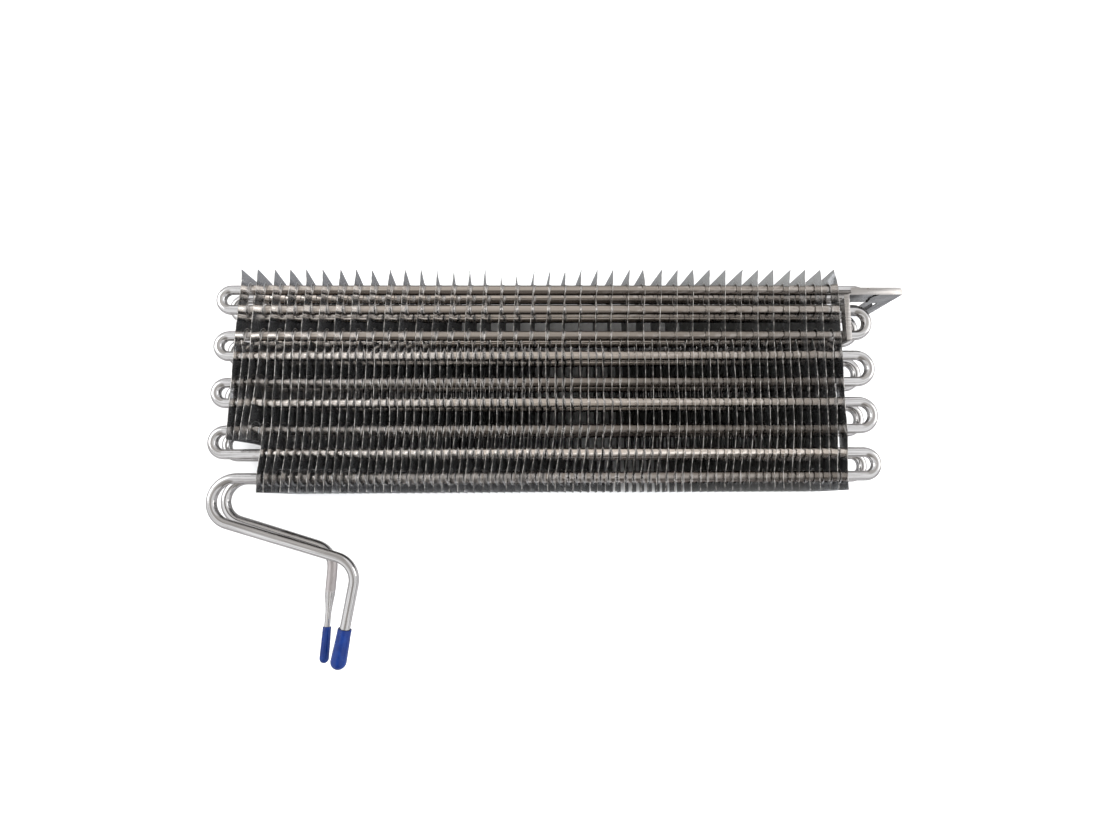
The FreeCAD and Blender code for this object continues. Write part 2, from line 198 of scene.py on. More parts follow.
def makeSpecks():   # small separate spots: dust, pits and splashes
    tree, entry, result = newGroup(
        "specks",
        [("Vector", "NodeSocketVector", None), ("Scale", "NodeSocketFloat", 600.0),
         ("Size", "NodeSocketFloat", 0.2), ("Share", "NodeSocketFloat", 0.2)],
        ["Mask"])
    cells = put(tree, "ShaderNodeTexVoronoi", {
        "Vector": entry.outputs["Vector"], "Scale": entry.outputs["Scale"]})
    near = put(tree, "ShaderNodeMapRange", inputs={
        "Value": cells.outputs["Distance"], "From Min": entry.outputs["Size"], "From Max": 0.0})
    dice = put(tree, "ShaderNodeSeparateColor", {"Color": cells.outputs["Color"]})
    chosen = put(tree, "ShaderNodeMath", operation="LESS_THAN",
                 inputs={0: dice.outputs["Red"], 1: entry.outputs["Share"]})
    both = put(tree, "ShaderNodeMath", operation="MULTIPLY",
               inputs={0: near.outputs["Result"], 1: chosen.outputs[0]})
    tree.links.new(both.outputs[0], result.inputs["Mask"])
    return tree


effects = {"streaks": makeStreaks(), "specks": makeSpecks()}


def effect(tree, name, place, values):
    return put(tree, "ShaderNodeGroup", {"Vector": place, **values}, node_tree=effects[name]).outputs["Mask"]


def kept(tree, label, output="Fac"):   # what a mesh keeps for its points or faces under this label
    return put(tree, "ShaderNodeAttribute", attribute_name=label).outputs[output]


def newMaterial(name, settings):
    material = bpy.data.materials.new(name)
    material.use_nodes = True
    tree = material.node_tree
    shader = next(node for node in tree.nodes if node.type == "BSDF_PRINCIPLED")
    for label, value in settings.items():
        shader.inputs[label].default_value = value
    place = put(tree, "ShaderNodeTexCoord").outputs["Object"]
    return material, tree, shader, place


def blendColours(tree, mask, first, second):
    mix = put(tree, "ShaderNodeMix", data_type="RGBA")
    tree.links.new(mask, mix.inputs[0])
    for socket, value in ((mix.inputs[6], first), (mix.inputs[7], second)):
        if isinstance(value, bpy.types.NodeSocket):
            tree.links.new(value, socket)
        else:
            socket.default_value = (*value, 1)
    return mix.outputs[2]


def blendValues(tree, mask, low, high):
    return put(tree, "ShaderNodeMapRange", {"Value": mask, "To Min": low, "To Max": high}).outputs["Result"]


def share(tree, mask, most):   # from 0 up to this value
    return blendValues(tree, mask, 0.0, most)


def addUp(tree, *values):
    total = values[0]
    for value in values[1:]:
        total = put(tree, "ShaderNodeMath", {0: total, 1: value}, operation="ADD").outputs[0]
    return total


def bump(tree, shader, height, depth):   # depth in millimetres
    node = put(tree, "ShaderNodeBump", {"Height": height, "Strength": 1.0, "Distance": depth * mm})
    tree.links.new(node.outputs["Normal"], shader.inputs["Normal"])


tubeFinish = {
    "light": (0.62, 0.61, 0.605), "dull": (0.36, 0.35, 0.345),                   # bends and pipes
    "worn": (0.44, 0.41, 0.405), "wornMatt": 0.4,                                # rear pipe above its swage
    "shelteredLight": (0.96, 0.875, 0.79), "shelteredDull": (0.75, 0.67, 0.60),  # between the fins: warmer and brighter, painted light in the fins' shade
    "paintedLowShade": (0.24, 0.21, 0.19), "paintedLowShadeShare": 0.85, "paintedLowShadeEdge": (-0.2, -0.36),    # painted shade on the lower side there
    "paintedLowShadeDrop": 0.45,                                                            # the painted shade starts lower on wide-banded rows
    # the first colour is the painted shade of dim rows between the fins; the second stains spots and rubs
    "paintedRowShade": (0.045, 0.038, 0.034), "stain": (0.30, 0.25, 0.22),
    "drawn": {"Stretch": (16, 950, 950), "Detail": 4, "Low": 0.35, "High": 0.68}, "drawnShare": 0.7,
    "fine": {"Stretch": (50, 2600, 2600), "Detail": 2, "Low": 0.3, "High": 0.7}, "fineShare": 0.3,
    "rubs": {"Stretch": (150, 420, 420), "Detail": 5, "Low": 0.56, "High": 0.72}, "rubShare": 0.2,
    "clouds": {"Stretch": (55, 55, 55), "Low": 0.4, "High": 0.66}, "cloudHeight": 3.0,
    "spots": {"Scale": 260, "Size": 0.16, "Share": 0.1}, "spotShare": 0.35,
    "gloss": 0.08, "matt": 0.16, "rubMatt": 0.1, "scratchDepth": 0.01,
}


def insideBlock(tree, place):   # 1 between the first and the last fin and above their feet
    parts = put(tree, "ShaderNodeSeparateXYZ", {"Vector": place})

    def step(axis, start, end):
        return put(tree, "ShaderNodeMapRange", {
            "Value": parts.outputs[axis], "From Min": start, "From Max": end}).outputs["Result"]

    def both(first, second):
        return put(tree, "ShaderNodeMath", {0: first, 1: second}, operation="MULTIPLY").outputs[0]

    outer, inner = mm, 3 * mm   # how far the change reaches to either side
    left, right = blockMiddle.x - halfBlock * mm, blockMiddle.x + halfBlock * mm
    longLeft, foot, clippedFoot = left + clippedCount * finPitch * mm, blockMiddle.y, firstFin[0].y
    whole = both(step("X", right + outer, right - inner), step("Y", foot - outer, foot + outer))
    clipped = both(step("X", left - outer, left + inner), step("Y", clippedFoot, clippedFoot + outer))
    either = put(tree, "ShaderNodeMath", {0: step("X", longLeft - outer, longLeft + inner), 1: clipped},
                 operation="MAXIMUM").outputs[0]
    return both(whole, either)


def tubeMaterial():
    material, tree, shader, place = newMaterial("drawnAluminiumTube", {
        "Metallic": 1.0, "Specular Tint": (0.55, 0.52, 0.5, 1)})
    pipe = kept(tree, "alongTube", "Vector")
    shine, wide, worn = (kept(tree, label) for label in ("shine", "wideBand", "worn"))
    drawn, fine, rubs = (
        effect(tree, "streaks", pipe, tubeFinish[label]) for label in ("drawn", "fine", "rubs"))
    clouds = effect(tree, "streaks", place, tubeFinish["clouds"])
    spots = effect(tree, "specks", place, tubeFinish["spots"])

    streaked = addUp(tree, share(tree, drawn, tubeFinish["drawnShare"]),
                     share(tree, fine, tubeFinish["fineShare"]))
    bright = blendColours(tree, streaked, tubeFinish["light"], tubeFinish["dull"])
    bright = blendColours(tree, worn, bright, tubeFinish["worn"])
    sheltered = blendColours(tree, streaked, tubeFinish["shelteredLight"], tubeFinish["shelteredDull"])
    # painted shade: the tube's downward side between the fins turns darker
    facing = put(tree, "ShaderNodeSeparateXYZ", {
        "Vector": put(tree, "ShaderNodeNewGeometry").outputs["Normal"]}).outputs["Y"]
    lower = put(tree, "ShaderNodeMapRange", {
        "Value": addUp(tree, facing, share(tree, wide, tubeFinish["paintedLowShadeDrop"])),
        "From Min": tubeFinish["paintedLowShadeEdge"][0], "From Max": tubeFinish["paintedLowShadeEdge"][1],
        "To Max": tubeFinish["paintedLowShadeShare"]}).outputs["Result"]
    sheltered = blendColours(tree, lower, sheltered, tubeFinish["paintedLowShade"])
    # painted light and shade: by its shine, each row between the fins runs from painted shade to its full
    # colour
    sheltered = blendColours(tree, shine, tubeFinish["paintedRowShade"], sheltered)
    colour = blendColours(tree, insideBlock(tree, place), bright, sheltered)
    marks = addUp(tree, share(tree, spots, tubeFinish["spotShare"]),
                  share(tree, rubs, tubeFinish["rubShare"]))
    tree.links.new(blendColours(tree, marks, colour, tubeFinish["stain"]), shader.inputs["Base Color"])
    wear = addUp(tree, blendValues(tree, clouds, tubeFinish["gloss"], tubeFinish["matt"]),
                 share(tree, rubs, tubeFinish["rubMatt"]), share(tree, worn, tubeFinish["wornMatt"]))
    tree.links.new(wear, shader.inputs["Roughness"])
    height = addUp(tree, streaked, share(tree, clouds, tubeFinish["cloudHeight"]))
    bump(tree, shader, height, tubeFinish["scratchDepth"])
    return material


finFinish = {
    "light": (0.94, 0.945, 0.95), "dull": (0.80, 0.805, 0.81),
    "rolled": {"Stretch": (60, 26, 700), "Detail": 3, "Low": 0.35, "High": 0.7},
    "clouds": {"Stretch": (160, 70, 70), "Low": 0.38, "High": 0.66},
    "ripple": {"Stretch": (160, 120, 120), "Detail": 1, "Low": 0.2, "High": 0.8},
    "sheared": {"Stretch": (170, 260, 60), "Detail": 2, "Low": 0.46, "High": 0.6},
    "metal": 0.98, "gloss": 0.06, "matt": 0.2, "rippleDepth": 0.012,
    "edge": (0.22, 0.21, 0.20), "edgeBright": (0.86, 0.83, 0.79), "edgeMatt": 0.25,   # sheared front edge
    "collar": (0.40, 0.375, 0.355), "collarMatt": 0.15,                               # painted shade on the collar drawn around the tube
    "arch": (0.95, 0.93, 0.90), "archMatt": 0.3,                                     # painted highlight on its bead's upper side
}


def finMaterial():
    material, tree, shader, place = newMaterial("rolledAluminiumFoil", {"Metallic": finFinish["metal"]})
    rolled, clouds, ripple, sheared = (effect(tree, "streaks", place, finFinish[label])
                                       for label in ("rolled", "clouds", "ripple", "sheared"))
    edge, collar, arch = (kept(tree, label) for label in ("frontEdge", "collar", "arch"))
    foil = blendColours(tree, rolled, finFinish["light"], finFinish["dull"])
    # painted shade on the collars
    foil = blendColours(tree, collar, foil, finFinish["collar"])
    # painted highlight on the collars' beads
    foil = blendColours(tree, arch, foil, finFinish["arch"])
    rim = blendColours(tree, sheared, finFinish["edge"], finFinish["edgeBright"])
    tree.links.new(blendColours(tree, edge, foil, rim), shader.inputs["Base Color"])
    wear = addUp(tree, blendValues(tree, clouds, finFinish["gloss"], finFinish["matt"]),
                 share(tree, edge, finFinish["edgeMatt"]), share(tree, collar, finFinish["collarMatt"]),
                 share(tree, arch, finFinish["archMatt"]))
    tree.links.new(wear, shader.inputs["Roughness"])
    bump(tree, shader, ripple, finFinish["rippleDepth"])
    return material


bracketFinish = {
    "light": (0.53, 0.505, 0.485), "dull": (0.34, 0.325, 0.315),
    "grain": {"Stretch": (30, 1200, 1200), "Detail": 4, "Low": 0.35, "High": 0.7},
    "clouds": {"Stretch": (90, 90, 90), "Low": 0.4, "High": 0.66},
    "stains": {"Stretch": (240, 240, 240), "Detail": 5, "Low": 0.6, "High": 0.72},
    "stain": (0.30, 0.26, 0.24), "stainShare": 0.5,
    "paintedShelfShade": (0.17, 0.17, 0.174), "cut": (0.012, 0.011, 0.011),      # painted shade on the shelf's lower side, and the painted shadow in the sheared line
    "gloss": 0.24, "matt": 0.4, "grainDepth": 0.01,
}
tones = {"bright": 0.0, "dull": 1.0, "shadow": 1.5, "gap": 2.0}   # kept for each face of the bracket: dull is painted shade, shadow and gap painted shadow


def bracketMaterial():
    material, tree, shader, place = newMaterial("millFinishSheet", {"Specular IOR Level": 0.0})
    grain, clouds, stains = (
        effect(tree, "streaks", place, bracketFinish[label]) for label in ("grain", "clouds", "stains"))
    sheet = blendColours(tree, grain, bracketFinish["light"], bracketFinish["dull"])
    stained = share(tree, stains, bracketFinish["stainShare"])
    sheet = blendColours(tree, stained, sheet, bracketFinish["stain"])
    tone = kept(tree, "tone")
    gap = put(tree, "ShaderNodeMapRange", {
        "Value": tone, "From Min": tones["dull"], "From Max": tones["gap"]}).outputs["Result"]
    # painted shade and shadow, from each face's kept tone
    sheet = blendColours(tree, tone, sheet, bracketFinish["paintedShelfShade"])
    tree.links.new(blendColours(tree, gap, sheet, bracketFinish["cut"]), shader.inputs["Base Color"])
    tree.links.new(blendValues(tree, gap, 1.0, 0.0), shader.inputs["Metallic"])
    wear = blendValues(tree, clouds, bracketFinish["gloss"], bracketFinish["matt"])
    tree.links.new(wear, shader.inputs["Roughness"])
    bump(tree, shader, grain, bracketFinish["grainDepth"])
    return material


capFinish = {
    "deep": (0.0016, 0.0145, 0.10), "thin": (0.0035, 0.024, 0.143), "dust": (0.3, 0.36, 0.5),
    "clouds": {"Stretch": (260, 140, 260), "Low": 0.35, "High": 0.7}, "cloudHeight": 3.0,
    "fine": {"Stretch": (900, 900, 900), "Detail": 2, "Low": 0.3, "High": 0.7},
    "specks": {"Scale": 900, "Size": 0.14, "Share": 0.06},
    "gloss": 0.1, "matt": 0.22, "orangePeel": 0.03,
}


def capMaterial():
    material, tree, shader, place = newMaterial("dippedBlueVinyl", {
        "IOR": 1.5, "Specular IOR Level": 0.3})
    clouds, fine = (effect(tree, "streaks", place, capFinish[label]) for label in ("clouds", "fine"))
    dust = effect(tree, "specks", place, capFinish["specks"])
    vinyl = blendColours(tree, clouds, capFinish["deep"], capFinish["thin"])
    tree.links.new(blendColours(tree, dust, vinyl, capFinish["dust"]), shader.inputs["Base Color"])
    wear = blendValues(tree, fine, capFinish["gloss"], capFinish["matt"])
    tree.links.new(wear, shader.inputs["Roughness"])
    height = addUp(tree, fine, share(tree, clouds, capFinish["cloudHeight"]))
    bump(tree, shader, height, capFinish["orangePeel"])
    return material


finishes = {"tube": tubeMaterial(), "fin": finMaterial(), "bracket": bracketMaterial(), "cap": capMaterial()}
print("finishes made")


# the serpentine tube

tube = {
    "diameter": 8.0, "wall": 0.7, "sides": 32,
    "lowestRow": 11.5, "lowerSpan": 18.8, "rightSpan": 21.7, "leftSpan": 16.4,   # heights of the tube rows
    "columns": (42.0, 18.0),                       # front and rear
    "leftReach": 262.7, "rightReach": 268.8,       # outside of the bends
    "turnReach": 261.0, "elbowRadius": 18.0,
    "arcStep": 7.5, "boreShown": 24.0, "smooth": 35,
    # painted light: each front row's brightness, left and right, and its bright band's width, from the
    # lowest row up
    "rowShine": ((0.42, 0.30, 0.1), (1.0, 0.98, 0.1), (0.36, 0.14, 0.0), (1.0, 0.52, 1.0), (0.52, 0.12, 0.0),
                 (1.0, 0.42, 1.0), (0.62, 0.28, 0.2), (0.72, 0.42, 0.7), (0.72, 0.42, 0.0)),
    "rearShine": (1.6, 0.5),                       # the rear rows' painted light against them, left and right
    "rowSlack": 0.1, "sizeSlack": 0.05,
}
frontPipe = {"turnRadius": 18.0, "slope": 16.6, "elbowX": -142.4, "lean": 11.3, "tilt": 8.0, "drop": 135.3,
             "capLength": 32.0, "capDepth": 29.0, "capMouth": 10.7, "capEnd": 12.4}
rearPipe = {"turnRadius": 17.0, "slope": 17.2, "elbowX": -168.1, "lean": 3.1, "tilt": 0.0, "drop": 133.1,
            "capLength": 28.0, "capDepth": 26.0, "capMouth": 6.6, "capEnd": 7.4,
            "neck": 4.7, "neckLength": 34.0, "swage": 20.0, "swageSteps": 8}
capFloorGap = 1.0   # from a pipe's end to its cap's floor
rowSteps = [tube["lowerSpan"]] * 2 + [tube["rightSpan"], tube["leftSpan"]] * 3
rows = [tube["lowestRow"]]
for span in rowSteps:
    rows.append(rows[-1] + span)
leftPairs = list(zip(rows[1::2], rows[2::2]))
tubeRadius = tube["diameter"] / 2


def pipeCorners(pipe, column):   # a connection pipe's corners, its last leg's way and where its cap starts
    left, turn = tubeRadius - tube["turnReach"], pipe["turnRadius"]
    slope, lean, tilt = (math.radians(pipe[key]) for key in ("slope", "lean", "tilt"))
    low = rows[0] - turn * (1 + math.tan((math.pi / 2 - slope) / 2))
    elbow = Vector((pipe["elbowX"], low - (pipe["elbowX"] - left) * math.tan(slope), column))
    leg = Vector((-math.sin(lean) * math.cos(tilt), -math.cos(lean) * math.cos(tilt), -math.sin(tilt)))
    endRadius = pipe["capEnd"] / 2
    mouth = (elbow.y + pipe["drop"] - endRadius) / -leg.y + endRadius - pipe["capLength"]
    corners = [(Vector((left, rows[0], column)), turn), (Vector((left, low, column)), turn),
               (elbow, tube["elbowRadius"])]
    return corners, elbow, leg, mouth


def passCorners(column):   # one column, from the left end of the lowest row to the right end of the highest
    left, right = tubeRadius - tube["leftReach"], tube["rightReach"] - tubeRadius
    corners = []
    for number, (low, high) in enumerate(zip(rows, rows[1:])):
        side = left if number % 2 else right
        corners += [(Vector((side, y, column)), (high - low) / 2) for y in (low, high)]
    corners.append((Vector((right, rows[-1], column)), (tube["columns"][0] - tube["columns"][1]) / 2))
    return corners


def extrudeRing(move):
    bpy.ops.mesh.extrude_region_move(TRANSFORM_OT_translate={"value": move})


def scaleRing(factor, centre):
    bpy.ops.transform.resize(value=(factor,) * 3, center_override=centre)


def markTube(obj, legTop):   # keeps each point's place along and around the tube, its painted shine and its wear
    sides = tube["sides"]
    labels = ("alongTube", "shine", "wideBand", "worn")
    for label in labels:
        obj.data.attributes.new(label, "FLOAT_VECTOR" if label == "alongTube" else "FLOAT", "POINT")
    mark, shine, wide, worn = (obj.data.attributes[label] for label in labels)
    points = [vertex.co.copy() for vertex in obj.data.vertices]
    along, before = 0.0, None
    for start in range(0, len(points), sides):
        ring = points[start:start + sides]
        centre = sum(ring, Vector()) / sides
        if before is not None:
            along += (centre - before).length
        before = centre
        light, band, side = 1.0, 0.0, int(centre.x > 0)
        for height, (left, right, width) in zip(rows, tube["rowShine"]):
            if abs(centre.y - height) < tube["rowSlack"]:
                light, band = (left, right)[side], width
                if centre.z < finDepth / 2:
                    light = min(light * tube["rearShine"][side], 1.0)
        fullSize = (ring[0] - centre).length > tubeRadius - tube["sizeSlack"]
        onLeg = fullSize and centre.z < finDepth / 2 and centre.y < legTop
        for number, point in enumerate(ring):
            angle, radius = 2 * math.pi * number / sides, (point - centre).length
            mark.data[start + number].vector = (
                along * mm, radius * math.cos(angle) * mm, radius * math.sin(angle) * mm)
            shine.data[start + number].value = light
            wide.data[start + number].value = band
            worn.data[start + number].value = onLeg
    print("tube marked,", len(points) // sides, "rings,", round(along), "mm")


def pullTube():
    front, rear = tube["columns"]
    frontCorners, frontElbow, frontLeg, bigMouth = pipeCorners(frontPipe, front)
    rearCorners, rearElbow, rearLeg, smallMouth = pipeCorners(rearPipe, rear)
    start = frontElbow + frontLeg * (bigMouth + frontPipe["capDepth"] - capFloorGap)
    neckEnd = smallMouth + rearPipe["capDepth"] - capFloorGap
    swageStart = neckEnd - rearPipe["neckLength"] - rearPipe["swage"]
    corners = frontCorners[::-1] + passCorners(front) + passCorners(rear)[::-1] + rearCorners
    end = rearElbow + rearLeg * swageStart

    way = (corners[0][0] - start).normalized()
    bore = 1 - tube["wall"] / tubeRadius
    bpy.ops.mesh.primitive_circle_add(
        vertices=tube["sides"], radius=tubeRadius * bore, location=start + way * tube["boreShown"],
        rotation=way.to_track_quat("Z", "Y").to_euler())
    obj = added("coilTube")
    bpy.ops.object.transform_apply()
    edit(obj)
    bpy.ops.mesh.select_all(action="SELECT")
    extrudeRing(way * -tube["boreShown"])
    extrudeRing((0, 0, 0))
    scaleRing(1 / bore, start)

    here = start
    points = [(start, 0)] + corners + [(end, 0)]
    for (before, _), (corner, radius), (after, _) in zip(points, points[1:], points[2:]):
        back, ahead = (before - corner).normalized(), (after - corner).normalized()
        half = back.angle(ahead) / 2
        first = corner + back * (radius / math.tan(half))
        if (first - here).length > slack:
            extrudeRing(first - here)
        turn = math.pi - 2 * half
        centre = corner + (back + ahead).normalized() * (radius / math.sin(half))
        axis = ahead.cross(back).normalized()
        steps = max(2, round(math.degrees(turn) / tube["arcStep"]))
        bpy.ops.mesh.spin(steps=steps, angle=-turn, center=centre, axis=axis)
        here = corner + ahead * (radius / math.tan(half))
    extrudeRing(end - here)

    ring, width, steps = end, tube["diameter"], rearPipe["swageSteps"]
    move = rearLeg * rearPipe["swage"] / steps
    for number in range(1, steps + 1):
        target = tube["diameter"] + (rearPipe["neck"] - tube["diameter"]) * soft(number / steps)
        extrudeRing(move)
        ring = ring + move
        scaleRing(target / width, ring)
        width = target
    extrudeRing(rearLeg * rearPipe["neckLength"])
    ring = ring + rearLeg * rearPipe["neckLength"]
    extrudeRing((0, 0, 0))
    scaleRing(1 - 2 * tube["wall"] / rearPipe["neck"], ring)
    extrudeRing(rearLeg * -tube["boreShown"])
    bpy.ops.mesh.select_all(action="SELECT")
    bpy.ops.mesh.fill_holes(sides=0)
    bpy.ops.mesh.normals_make_consistent(inside=False)
    stopEdit()
    markTube(obj, rearElbow.y - tube["elbowRadius"] / 2)
    finishPiece(obj, ["serpentine_tube"], finishes["tube"], tube["smooth"])
    return (frontElbow, frontLeg, bigMouth), (rearElbow, rearLeg, smallMouth)


bigCapPlace, smallCapPlace = pullTube()
print("tube pulled")


# the fins

fins = {
    "foil": 0.25, "frontEdge": 0.27, "frontEdgeDepth": 0.2,     # the sheared front edge is a little thicker
    "cellsAcross": 12, "cellLength": 5.0, "extraCuts": (49.5, 53.5, 57.5), "smooth": 40,
    # radius and height of a drawn collar's rings, from the bead around it to its free edge
    "collar": ((6.0, 0.16), (5.7, 0.03), (4.85, 0.12), (4.45, 0.4), (4.22, 0.95), (4.17, 2.0)),
    "collarRoot": 6.3, "collarShade": (5.3, 4.7), "collarSides": 24, "cutterDepth": 4, "cutSlack": 1e-4,
    "collarFade": 5.0,                             # between a slot's two ends the sheet stays flat
    # the bead's painted highlight lies on its upper side, between these facings
    "beadRadius": 6.0, "beadSlack": 0.1, "beadFacing": (-0.2, 0.3),
    "topFree": 13.0, "frontFree": 15.0, "topCurve": 1.3, "frontCurve": 1.4,      # parts that nothing holds
    # waves: across the whole sheet, a slow drift of the front part, and short ones at the feet
    "waveLength": 17.0, "waveDepth": 40.0, "waveHeight": 0.5, "waveRange": (0.6, 1.3),
    "rearWave": 0.6, "heldWave": 0.12,             # against the wave of the front edge
    "driftLength": 60.0, "driftHeight": 0.6,
    "footWave": 0.5, "footWaveLength": 7.0, "footWavePlace": 3, "footHeights": (30.0, 10.0),
    # how far the front edges lean: all along, and more towards the feet
    "heldLean": ((-235, -3.2), (60, -3.1), (150, -2.2), (205, -2.0), (222, -1.0), (235, 0.0)),
    "heldHeight": 125.0, "heldRange": (0.85, 1.15),
    "lowerLean": ((-235, -4.3), (-150, -3.1), (-87, -2.8), (0, -5.5), (100, -5.5), (205, -4.8), (213, -2.6),
                  (235, -1.4)),
    "lowerHeights": (56.0, 12.0), "lowerRange": (0.88, 1.12), "lowerCurve": 1.5, "leanDepth": 24.0,
    # how far the rear top corners lean against the front ones
    "topLean": ((-235, -3), (-222, -8), (-170, -8.5), (-130, -6), (-60, -5), (100, -4.5), (150, -4.5),
                (190, 0), (235, 1)),
    "topRange": (0.8, 1.2), "rearTipShare": 0.35,
    # front top corners that someone bent aside, by tall fin
    "strayTips": {0: -1.4, 1: -0.8, 2: -0.6, 3: -0.9, 4: -1.4, 5: -1.2, 8: -0.8, 9: 0.7, 18: 0.7, 25: -1.9,
                  28: -0.6, 31: 0.9, 32: 0.8, 34: 1.3, 37: -2.6},
    "tipSpread": 0.3, "clippedSplay": (-2.4, -1.2), "clippedReach": 62.0, "clippedCurve": 1.2,
    "cornerBend": 2.2, "cornerReach": 9.0, "cornerCurve": 1.6,      # top corners of the short fins
    "luck": 7, "noisePlaces": (0, 90),
}
slotLines = [(rows[0], rows[0])] + leftPairs
clippedLines = [(rows[2], rows[2])] + leftPairs[1:]   # a clipped fin's lowest opening is a round hole


def nearSlot(y, z, lines):   # nearest point of a slot's middle line, and the distance to it
    best = None
    for column in tube["columns"]:
        for low, high in lines:
            middle = Vector((0, min(max(y, low), high), column))
            away = (Vector((0, y, z)) - middle).length
            if best is None or away < best[1]:
                best = (middle, away)
    return best


def slotCutter(lines):
    parts = []
    sides = fins["collarSides"]
    for column in tube["columns"]:
        for low, high in lines:
            bpy.ops.mesh.primitive_cylinder_add(
                vertices=sides, radius=fins["collarRoot"], depth=fins["cutterDepth"])
            part = added("slotCutter")
            part.data.transform(
                Matrix.Translation((0, low, column)) @ Matrix.Rotation(math.pi / 2, 4, "Y")
                @ Matrix.Rotation(math.pi / sides, 4, "Z"))
            edit(part)
            pick(part, "VERT", lambda vert: vert.co.y > low)
            bpy.ops.transform.translate(value=(0, high - low, 0))
            stopEdit()
            parts.append(part)
    only(parts[0])
    for part in parts:
        part.select_set(True)
    bpy.ops.object.join()
    return parts[0]


def slottedSheet(lines):   # a whole tall fin, still without thickness
    cutter = slotCutter(lines)
    bpy.ops.mesh.primitive_grid_add(
        x_subdivisions=fins["cellsAcross"], y_subdivisions=round(tallHeight / fins["cellLength"]), size=1)
    obj = added("slottedSheet")
    obj.data.transform(
        Matrix.Translation((0, tallHeight / 2, finDepth / 2)) @ Matrix.Rotation(-math.pi / 2, 4, "Y")
        @ Matrix.Diagonal((finDepth, tallHeight, 1, 1)))
    slots = obj.modifiers.new("slots", "BOOLEAN")
    slots.object, slots.operation, slots.solver = cutter, "DIFFERENCE", "EXACT"
    applyModifier(obj, slots)
    bpy.data.objects.remove(cutter)

    edit(obj)
    pick(obj, "FACE", lambda face: any(abs(vert.co.x) > slack for vert in face.verts))
    bpy.ops.mesh.delete(type="FACE")   # the cutter's own walls
    for z in (*fins["extraCuts"], finDepth - fins["frontEdgeDepth"]):
        bpy.ops.mesh.select_all(action="SELECT")
        bpy.ops.mesh.bisect(plane_co=(0, 0, z), plane_no=(0, 0, 1), threshold=fins["cutSlack"])

    def onRim(edge):
        return edge.is_boundary and all(
            nearSlot(vert.co.y, vert.co.z, lines)[1] < fins["collarRoot"] + slack for vert in edge.verts)

    pick(obj, "EDGE", onRim)
    bpy.ops.mesh.mark_sharp()   # keeps the sheet around the collars flat
    for radius, rise in fins["collar"]:
        extrudeRing((0, 0, 0))

        def place(point):
            middle, away = nearSlot(point.y, point.z, lines)
            spot = middle + (Vector((0, point.y, point.z)) - middle) * (radius / away)
            inside = min(abs(middle.y - y) for line in lines for y in line)
            return Vector((rise * (1 - ramp(inside, 0, fins["collarFade"])), spot.y, spot.z))

        movePicked(obj, place)
    stopEdit()
    return obj


def finMaster(name, sheet, lines, foot, top):   # the sheet cut to its height and given its thickness
    obj = sheet.copy()
    obj.data = sheet.data.copy()
    obj.name = name
    bpy.context.scene.collection.objects.link(obj)
    edit(obj)
    for y, outside in ((top, True), (foot, False)):
        if 0 < y < tallHeight - slack:
            bpy.ops.mesh.select_all(action="SELECT")
            bpy.ops.mesh.bisect(
                plane_co=(0, y, 0), plane_no=(0, 1, 0), threshold=fins["cutSlack"],
                clear_outer=outside, clear_inner=not outside)
    stopEdit()
    edgeGroup = obj.vertex_groups.new(name="thick")
    front = [v.index for v in obj.data.vertices if v.co.z > finDepth - slack]
    edgeGroup.add(front, 1.0, "REPLACE")
    foil = obj.modifiers.new("foil", "SOLIDIFY")
    foil.thickness, foil.offset = fins["frontEdge"], 0
    foil.vertex_group, foil.thickness_vertex_group = "thick", fins["foil"] / fins["frontEdge"]
    applyModifier(obj, foil)
    for label in ("frontEdge", "collar", "arch"):
        obj.data.attributes.new(label, "FLOAT", "POINT")
    edge, collar, arch = (obj.data.attributes[label].data for label in ("frontEdge", "collar", "arch"))
    for vertex in obj.data.vertices:
        y, z = vertex.co.y, vertex.co.z
        middle, away = nearSlot(y, z, lines)
        edge[vertex.index].value = ramp(z, finDepth - fins["frontEdgeDepth"], finDepth)
        # painted shade, darker towards the tube
        collar[vertex.index].value = ramp(away, *fins["collarShade"])
        if abs(away - fins["beadRadius"]) < fins["beadSlack"]:   # painted highlight on the bead's upper side
            arch[vertex.index].value = ramp((y - middle.y) / away, *fins["beadFacing"])
    return obj


